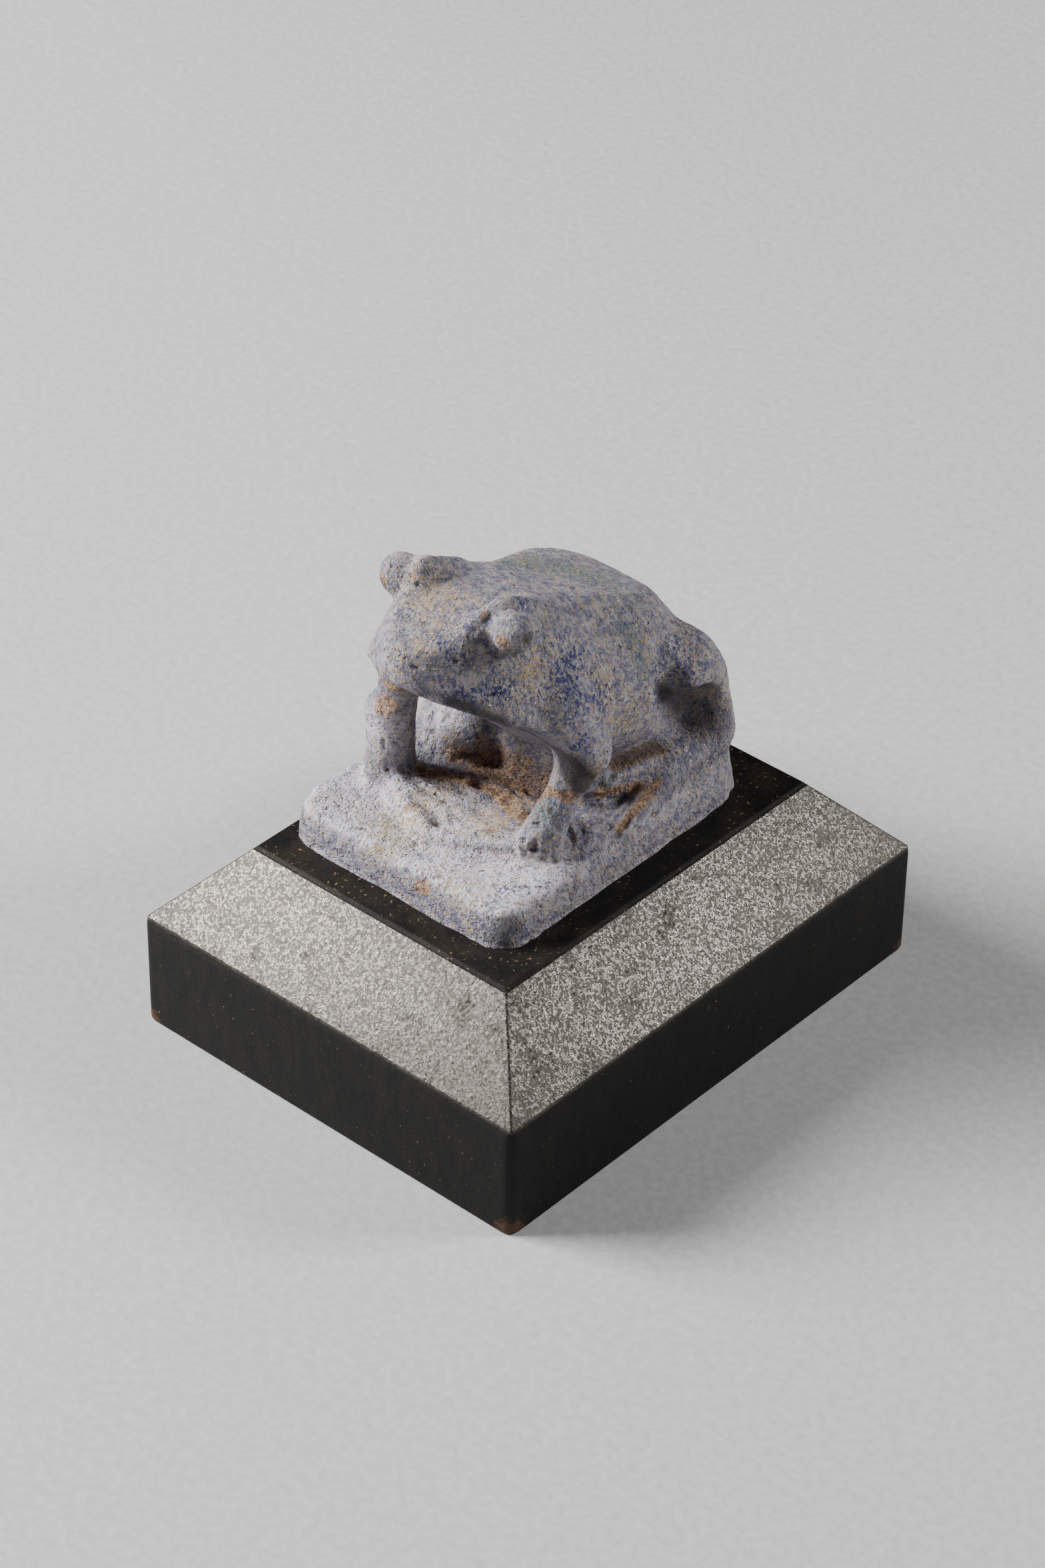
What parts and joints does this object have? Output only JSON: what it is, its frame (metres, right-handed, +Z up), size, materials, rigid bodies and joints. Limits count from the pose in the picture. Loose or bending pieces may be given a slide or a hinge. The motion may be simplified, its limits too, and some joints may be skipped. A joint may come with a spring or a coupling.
{
  "type": "frog amulet on plinth",
  "caption": "Small carved figure of a squatting frog on its own rounded base plate, resting on a bevelled black wooden plinth.",
  "frame": {"origin": "middle of the plinth's underside", "axes": "+Z up, the frog faces -Y, its left side is +X"},
  "size_m": [0.06, 0.0744, 0.0655],
  "materials": {
    "blue_frit": "matt, grainy grey-blue frit with deep blue, ochre and white grains, and tan crust in the hollows",
    "black_wood": "black paint or stain with a low sheen over fine grain, worn brown along the edges"
  },
  "bodies": {
    "root": {"frog_amulet": "blue_frit", "plinth": "black_wood"}
  },
  "joints": []
}
